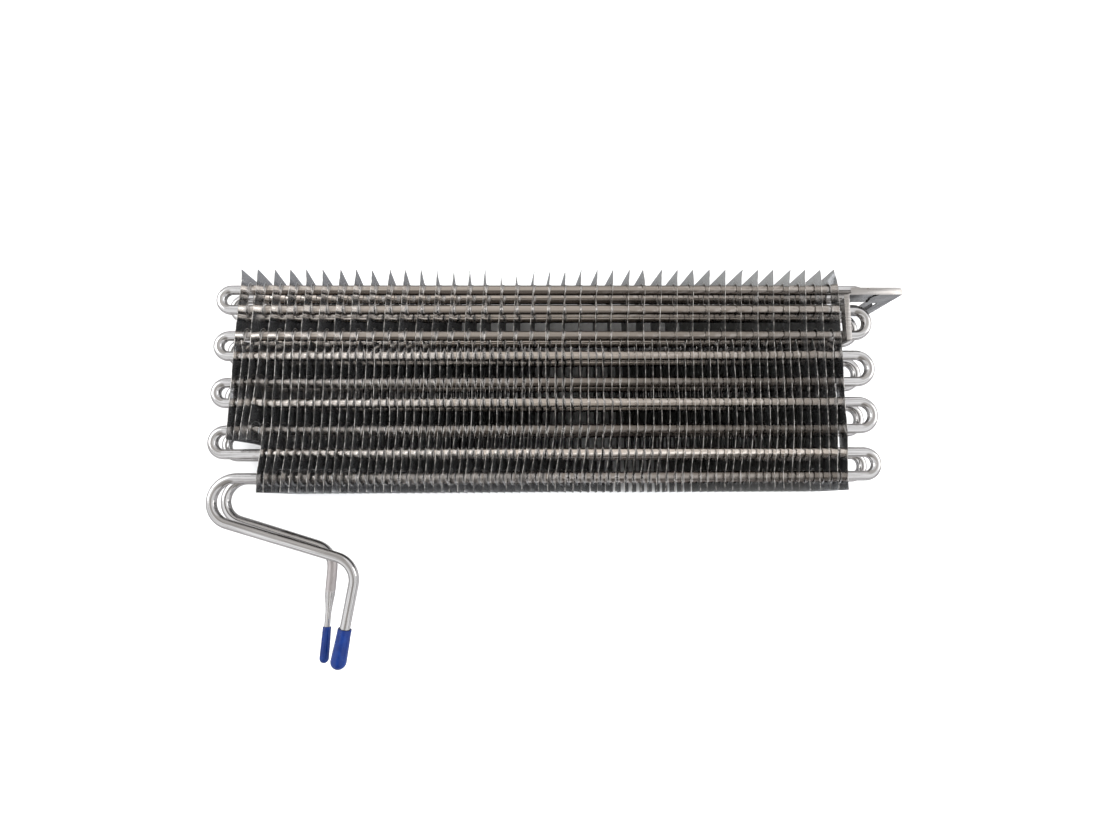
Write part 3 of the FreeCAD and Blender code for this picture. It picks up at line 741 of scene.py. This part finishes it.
def bentFin(master, name, index, foot, top, cornerShift, dice):
    mesh = master.data.copy()
    obj = bpy.data.objects.new(name, mesh)
    bpy.context.scene.collection.objects.link(obj)
    seed, phase = dice.uniform(*fins["noisePlaces"]), dice.uniform(*fins["noisePlaces"])
    height = fins["waveHeight"] * dice.uniform(*fins["waveRange"])
    x = index * finPitch - halfBlock
    clipped = foot > 0
    heldLean = between(fins["heldLean"], x) * dice.uniform(*fins["heldRange"])
    lowerLean = between(fins["lowerLean"], x) * dice.uniform(*fins["lowerRange"])
    splay = fins["clippedSplay"][0] + fins["clippedSplay"][1] * index
    topLean = between(fins["topLean"], x) * dice.uniform(*fins["topRange"])
    corner = dice.uniform(-1, 1) * fins["cornerBend"]
    rearTip = fins["rearTipShare"]
    for vertex in mesh.vertices:
        y, z = vertex.co.y, vertex.co.z
        front = ramp(z, finDepth - fins["frontFree"], finDepth, fins["frontCurve"])
        rear = ramp(z, fins["frontFree"], 0, fins["frontCurve"])
        high = ramp(y, top - fins["topFree"], top, fins["topCurve"])
        lean = ramp(y, tallHeight, fins["heldHeight"]) * heldLean
        if clipped:
            lean += ramp(y, foot + fins["clippedReach"], foot, fins["clippedCurve"]) * splay
        else:
            lean += ramp(y, *fins["lowerHeights"], fins["lowerCurve"]) * lowerLean
        lean *= ramp(z, fins["leanDepth"], finDepth)
        free = front + fins["rearWave"] * rear + fins["heldWave"]
        wave = noise.noise((seed, y / fins["waveLength"], z / fins["waveDepth"])) * height * free
        drift = noise.noise((phase, y / fins["driftLength"], z / fins["driftLength"]))
        drift *= fins["driftHeight"] * front
        if not clipped:
            flutter = noise.noise((phase, y / fins["footWaveLength"], fins["footWavePlace"]))
            wave += fins["footWave"] * front * flutter * ramp(y, *fins["footHeights"])
        if top == tallHeight:
            forward = z / finDepth
            tip = high * (cornerShift * (rearTip + (1 - rearTip) * forward) + topLean * (1 - forward))
        else:
            tip = front * ramp(y, top - fins["cornerReach"], top, fins["cornerCurve"]) * corner
        vertex.co.x += x + wave + drift + lean + tip
    return obj


tallHeight = (lastFin[1].y - lastFin[0].y) / mm
firstShort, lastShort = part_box(shortNodes[0]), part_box(shortNodes[-1])
shortHeight = (lastShort[1].y - blockMiddle.y) / mm
clippedFoot = (firstFin[0].y - blockMiddle.y) / mm
shortPerNode = round((firstShort[1].x - firstShort[0].x) / mm / (2 * finPitch)) + 1


def makeFins():
    lines = {False: slotLines, True: clippedLines}
    sheets = {clipped: slottedSheet(lines[clipped]) for clipped in lines}
    feet, tops = {False: 0, True: clippedFoot}, {"tall": tallHeight, "short": shortHeight}
    masters = {(kind, clipped): finMaster(
        f"{kind}Master", sheets[clipped], lines[clipped], feet[clipped], tops[kind])
        for kind in tops for clipped in feet}
    print("fin masters made,", [len(m.data.polygons) for m in masters.values()], "faces")
    dice = random.Random(fins["luck"])
    shortOnes = []
    for index in range(len(tallNodes) * 2 - 1):
        kind, clipped = "short" if index % 2 else "tall", index < clippedCount
        shift = 0
        if kind == "tall":
            shift = fins["strayTips"].get(index // 2, dice.uniform(-1, 1) * fins["tipSpread"])
        fin = bentFin(
            masters[kind, clipped], f"{kind}Fin{index:02d}", index, feet[clipped], tops[kind], shift, dice)
        if kind == "short":
            shortOnes.append(fin)
        else:
            finishPiece(fin, [tallNodes[index // 2]], finishes["fin"], fins["smooth"])
    for number, node in enumerate(shortNodes):
        group = shortOnes[number * shortPerNode:(number + 1) * shortPerNode]
        only(group[0])
        for fin in group:
            fin.select_set(True)
        if len(group) > 1:
            bpy.ops.object.join()
        group[0].name = f"shortFins{number + 1:02d}"
        finishPiece(group[0], [node], finishes["fin"], fins["smooth"])
    for obj in [*sheets.values(), *masters.values()]:
        bpy.data.objects.remove(obj)


makeFins()
print("fins bent")


# the end bracket

bracket = {
    "shelf": 154.0, "sheet": 1.0, "flange": 2.0,      # the flange and its fold take this much of the depth
    "edge": 0.18, "edgeSteps": 2, "edgeAngle": 40, "smooth": 40,
    # the sheared line from the window to the flange: x, z and width along it, filled with a painted shadow
    "gapLine": ((267.2, 39.8, 1.5), (266.3, 43.5, 1.6), (265.8, 46.2, 1.4), (264.1, 51.1, 1.9),
                (264.6, 53.0, 1.2), (265.0, 55.2, 1.5), (265.9, 57.8, 2.8), (266.5, 59.9, 3.2)),
    "gapOut": 0.12,                                   # the painted shadow strip stands this far out of the sheet
    # where the lip stands, and heights above the shelf's lower side that tell its points apart
    "lipSide": (272.0, 279.0), "lipFoot": 0.2, "lipRoot": 0.9, "lipTop": 2.0,
    "lipShort": 8.0,                                  # the lip leaves the slot's front end free
    "near": 0.1, "facing": 0.5, "merge": 0.001, "flat": 1,
}


def sheetTone(face):   # painted shade on the shelf's lower side, and painted shadow on the lip beside its slot
    place, normal = face.center, face.normal
    if abs(place.y - bracket["shelf"]) < bracket["near"] and normal.y < -bracket["facing"]:
        return tones["dull"]
    left, right = bracket["lipSide"]
    onLip = left < place.x < right and place.y > bracket["shelf"] + bracket["lipFoot"]
    behind = place.z < finDepth - bracket["flange"]
    return tones["shadow"] if onLip and behind and normal.y < bracket["facing"] else tones["bright"]


def paintedShadowGap():   # a narrow strip of painted shadow that fills the sheared line
    line = bracket["gapLine"]
    y = bracket["shelf"] - bracket["gapOut"]
    rim = [(x - width / 2, y, z) for x, z, width in line]
    rim += [(x + width / 2, y, z) for x, z, width in reversed(line)]
    mesh = bpy.data.meshes.new("paintedShadowGap")
    mesh.from_pydata(rim, [], [tuple(range(len(rim)))])
    obj = bpy.data.objects.new("paintedShadowGap", mesh)
    bpy.context.scene.collection.objects.link(obj)
    edit(obj)
    bpy.ops.mesh.select_all(action="SELECT")
    extrudeRing((0, bracket["sheet"] + 2 * bracket["gapOut"], 0))
    bpy.ops.mesh.select_all(action="SELECT")
    bpy.ops.mesh.normals_make_consistent(inside=False)
    stopEdit()
    return obj


def makeBracket():
    obj = frame["nodes"]["end_bracket"].copy()
    obj.data = obj.data.copy()
    bpy.context.scene.collection.objects.link(obj)
    obj.name = obj.data.name = "foldedBracket"
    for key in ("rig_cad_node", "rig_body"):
        if key in obj:
            del obj[key]
    obj.parent = None
    obj.data.transform(toRowFrame.inverted())
    places = [vertex.co for vertex in obj.data.vertices if vertex.co.z < finDepth - bracket["flange"]]
    lipFront = max(place.z for place in places if place.y > bracket["shelf"] + bracket["lipTop"])
    for place in places:
        if place.y > bracket["shelf"] + bracket["lipRoot"] and abs(place.z - lipFront) < bracket["near"]:
            place.z -= bracket["lipShort"]
    edit(obj)
    bpy.ops.mesh.select_all(action="SELECT")
    bpy.ops.mesh.remove_doubles(threshold=bracket["merge"])
    bpy.ops.mesh.dissolve_limited(angle_limit=math.radians(bracket["flat"]))
    stopEdit()
    soften = obj.modifiers.new("edges", "BEVEL")
    soften.width, soften.segments, soften.limit_method = bracket["edge"], bracket["edgeSteps"], "ANGLE"
    soften.angle_limit = math.radians(bracket["edgeAngle"])
    applyModifier(obj, soften)
    gap = paintedShadowGap()
    for piece in (obj, gap):
        tone = piece.data.attributes.new("tone", "FLOAT", "FACE")
        for face in piece.data.polygons:
            tone.data[face.index].value = tones["gap"] if piece is gap else sheetTone(face)
    only(obj)
    gap.select_set(True)
    bpy.ops.object.join()
    finishPiece(obj, ["end_bracket"], finishes["bracket"], bracket["smooth"])


makeBracket()
print("bracket made")


# the two dipped caps

caps = {
    "sides": 40, "domeSteps": 10, "sleeveSteps": (0.15, 0.3, 0.45, 0.6, 0.75, 0.9, 1.0), "smooth": 60,
    "clearance": 0.02, "mouthLip": 0.35, "mouthRound": (0.4, 0.3), "mouthDip": 0.1,      # rounded mouth edge
    "shrink": 0.02, "uneven": 0.04, "unevenShift": 0.4, "unevenLength": (6.0, 9.0), "skin": 0.3,
}


def dipCap(name, node, pipe, bore, place):
    elbow, leg, distance = place
    mouth = elbow + leg * distance
    facing = leg.to_track_quat("Z", "Y")
    length, depth = pipe["capLength"], pipe["capDepth"]
    mouthRadius, endRadius = pipe["capMouth"] / 2, pipe["capEnd"] / 2
    boreRadius = bore / 2 + caps["clearance"]
    lip, dip, (inner, outer) = caps["mouthLip"], caps["mouthDip"], caps["mouthRound"]
    outline = [(boreRadius, depth), (boreRadius, lip), (boreRadius + lip * inner, dip),
               ((boreRadius + mouthRadius) / 2, 0), (mouthRadius - lip * outer, dip), (mouthRadius, lip)]
    sleeve = length - endRadius
    outline += [(mouthRadius + (endRadius - mouthRadius) * soft(s), lip + (sleeve - lip) * s)
                for s in caps["sleeveSteps"]]
    outline += [(endRadius * math.cos(a), sleeve + endRadius * math.sin(a))
                for a in (math.pi / 2 * n / caps["domeSteps"] for n in range(1, caps["domeSteps"]))]
    radius, along = outline[0]
    bpy.ops.mesh.primitive_circle_add(vertices=caps["sides"], radius=radius, location=(0, 0, along))
    obj = added(name)
    bpy.ops.object.transform_apply()
    edit(obj)
    bpy.ops.mesh.select_all(action="SELECT")
    for nextRadius, nextAlong in outline[1:]:
        extrudeRing((0, 0, nextAlong - along))
        scaleRing(nextRadius / radius, (0, 0, nextAlong))
        radius, along = nextRadius, nextAlong
    bpy.ops.mesh.select_all(action="SELECT")
    bpy.ops.mesh.fill_holes(sides=0)
    bpy.ops.mesh.normals_make_consistent(inside=False)
    stopEdit()
    across, down = caps["unevenLength"]
    for vertex in obj.data.vertices:   # a dipped cap is never quite round
        p = vertex.co
        if Vector((p.x, p.y)).length > boreRadius + caps["skin"]:
            chance = noise.noise((p.x / across, p.y / across, p.z / down + distance)) + caps["unevenShift"]
            swell = min(1 - caps["shrink"] + caps["uneven"] * chance, 1.0)
            p.x *= swell
            p.y *= swell
    obj.data.transform(Matrix.Translation(mouth) @ facing.to_matrix().to_4x4())
    finishPiece(obj, [node], finishes["cap"], caps["smooth"])


dipCap("bigBlueCap", "big_cap", frontPipe, tube["diameter"], bigCapPlace)
dipCap("smallBlueCap", "small_cap", rearPipe, rearPipe["neck"], smallCapPlace)
print("caps dipped")


# floor, light and camera

studio = {
    "floorSize": 12.0, "floorColour": (0.93, 0.93, 0.93),
    # painted shade: the floor as the metal shows it, darker left and right under the coil, and in the open
    "floorInGloss": ((0.135, 0.135, 0.14), (0.195, 0.195, 0.19)), "glossSides": (-0.15, 0.15),
    "openFloorInGloss": (0.46, 0.46, 0.465),
    "backdrop": (0.96, 0.96, 0.96),                # seen behind the floor, and never in the metal
    "skyBright": (0.74, 0.72, 0.70), "skyDark": (0.46, 0.44, 0.42), "skyEdge": (-0.62, -0.28),
    "skySides": (1.25, 1.26, 1.28), "sideEdge": (0.27, 0.42),
    "horizon": (0.12, 0.12, 0.13), "horizonEdge": (0.03, 0.16),
    "camera": (-0.45, -11.5, 564.4), "pan": 0.89, "tip": -7.61, "roll": 0.16,
    "focalPixels": 662.8, "pictureWidth": 1104, "sensor": 36.0, "nearest": 0.01,
}
# the wash pair whitens the floor and stays out of the metal's reflections
softboxes = {
    "leftWash": {
        "place": (-1.2, 0.0, 1.3), "size": (1.4, 2.4), "power": 18.0, "tint": (1, 1, 1),
        "inGloss": False},
    "rightWash": {
        "place": (1.2, 0.0, 1.3), "size": (1.4, 2.4), "power": 44.0, "tint": (0.97, 0.99, 1.03),
        "inGloss": False},
    "leftWindow": {
        "place": (-1.3, 0.4, 0.8), "size": (0.8, 1.0), "power": 7.0, "tint": (0.96, 0.98, 1.0),
        "inGloss": True},
    "rightWindow": {
        "place": (1.3, 0.2, 0.6), "size": (0.7, 0.8), "power": 3.5, "tint": (1.0, 0.98, 0.95),
        "inGloss": True},
}


def makeFloor():
    bpy.ops.mesh.primitive_plane_add(size=studio["floorSize"])
    floor = added("studioFloor")
    material, tree, shader, place = newMaterial("palePaper", {"Roughness": 0.9, "Specular IOR Level": 0.1})
    seen = put(tree, "ShaderNodeLightPath").outputs["Is Glossy Ray"]
    across = put(tree, "ShaderNodeMapRange", {
        "Value": put(tree, "ShaderNodeSeparateXYZ", {"Vector": place}).outputs["X"],
        "From Min": studio["glossSides"][0], "From Max": studio["glossSides"][1]}).outputs["Result"]
    # painted shade: the floor as the metal sees it is darker, most under the coil
    dimmed = blendColours(tree, across, *studio["floorInGloss"])
    dimmed = blendColours(tree, insideBlock(tree, place), studio["openFloorInGloss"], dimmed)
    tree.links.new(blendColours(tree, seen, studio["floorColour"], dimmed), shader.inputs["Base Color"])
    floor.data.materials.append(material)


def hangSoftbox(name, box):
    lamp = bpy.data.lights.new(name, "AREA")
    lamp.shape, (lamp.size, lamp.size_y) = "RECTANGLE", box["size"]
    lamp.energy, lamp.color = box["power"], box["tint"]
    holder = bpy.data.objects.new(name, lamp)
    bpy.context.scene.collection.objects.link(holder)
    holder.location = box["place"]
    holder.rotation_euler = (-Vector(box["place"])).to_track_quat("-Z", "Y").to_euler()
    holder.visible_glossy = box["inGloss"]


def makeSky():   # brighter towards the fins' tall ends and to both sides, dark at the horizon, plain behind
    world = bpy.data.worlds.new("studio")
    bpy.context.scene.world = world
    world.use_nodes = True
    tree = world.node_tree
    way = put(tree, "ShaderNodeTexCoord").outputs["Generated"]
    parts = put(tree, "ShaderNodeSeparateXYZ", {"Vector": way})
    aside = put(tree, "ShaderNodeMath", {0: parts.outputs["X"]}, operation="ABSOLUTE").outputs[0]

    def step(value, edge):
        return put(tree, "ShaderNodeMapRange", {"Value": value, "From Min": edge[0], "From Max": edge[1]},
                   interpolation_type="SMOOTHSTEP").outputs["Result"]

    upwards = step(parts.outputs["Y"], studio["skyEdge"])
    colour = blendColours(tree, upwards, studio["skyDark"], studio["skyBright"])
    colour = blendColours(tree, step(aside, studio["sideEdge"]), colour, studio["skySides"])
    colour = blendColours(tree, step(parts.outputs["Z"], studio["horizonEdge"]), studio["horizon"], colour)
    seen = put(tree, "ShaderNodeLightPath").outputs["Is Camera Ray"]
    colour = blendColours(tree, seen, colour, studio["backdrop"])
    background = next(node for node in tree.nodes if node.type == "BACKGROUND")
    tree.links.new(colour, background.inputs["Color"])


def makeCamera():
    lens = bpy.data.cameras.new("camera")
    lens.sensor_width, lens.sensor_fit = studio["sensor"], "HORIZONTAL"
    lens.lens = studio["focalPixels"] / studio["pictureWidth"] * studio["sensor"]
    lens.clip_start = studio["nearest"]
    camera = bpy.data.objects.new("camera", lens)
    bpy.context.scene.collection.objects.link(camera)
    toCamera = (Matrix.Rotation(math.radians(studio["roll"]), 4, "Z")
                @ Matrix.Rotation(math.radians(studio["pan"]), 4, "Y")
                @ Matrix.Rotation(math.radians(studio["tip"]), 4, "X"))
    camera.matrix_world = Matrix.Translation(toRowFrame @ Vector(studio["camera"])) @ toCamera.transposed()
    bpy.context.scene.camera = camera


makeFloor()
for name, box in softboxes.items():
    hangSoftbox(name, box)
makeSky()
makeCamera()
bpy.context.scene.view_settings.view_transform = "Standard"
print("studio set")
